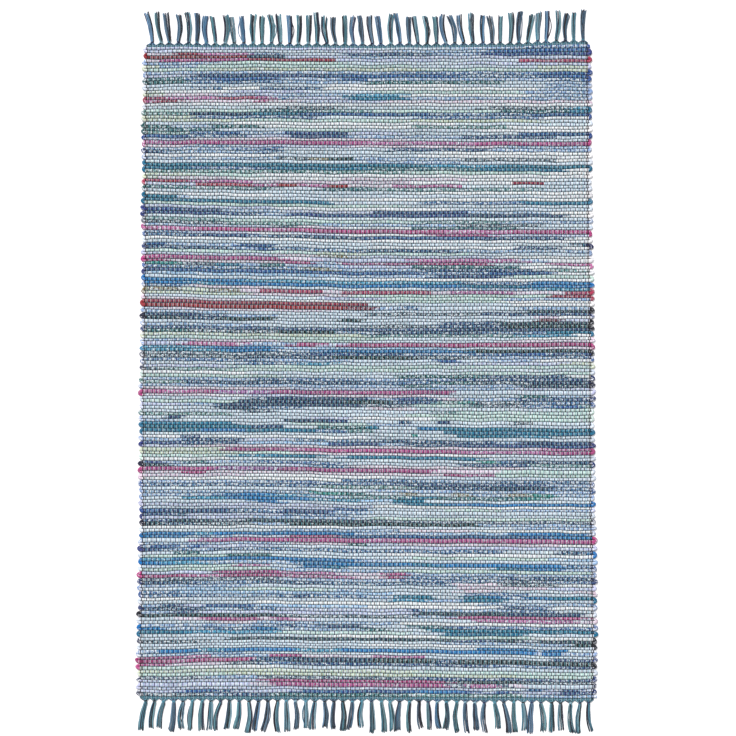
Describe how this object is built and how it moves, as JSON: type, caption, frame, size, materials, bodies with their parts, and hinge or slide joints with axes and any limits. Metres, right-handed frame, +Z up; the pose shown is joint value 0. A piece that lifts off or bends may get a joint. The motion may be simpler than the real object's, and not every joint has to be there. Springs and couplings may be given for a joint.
{
  "type": "rag rug",
  "caption": "Rectangular flat-woven rag rug with ribbed rows, looped selvedges and a knotted tassel fringe at both ends.",
  "frame": {"origin": "on the floor under the middle of the rug, fringe included", "axes": "+X across the rug, +Y along it towards its upper fringe, +Z up out of its face"},
  "size_m": [1.2278, 1.9356, 0.007],
  "materials": {
    "rag_weave": "woven cotton rags under a coloured cotton warp, matt",
    "warp_yarn": "twisted cotton yarn, matt"
  },
  "bodies": {
    "root": {"rug_cloth": "rag_weave", "fringe_upper": "warp_yarn", "fringe_lower": "warp_yarn"}
  },
  "joints": []
}
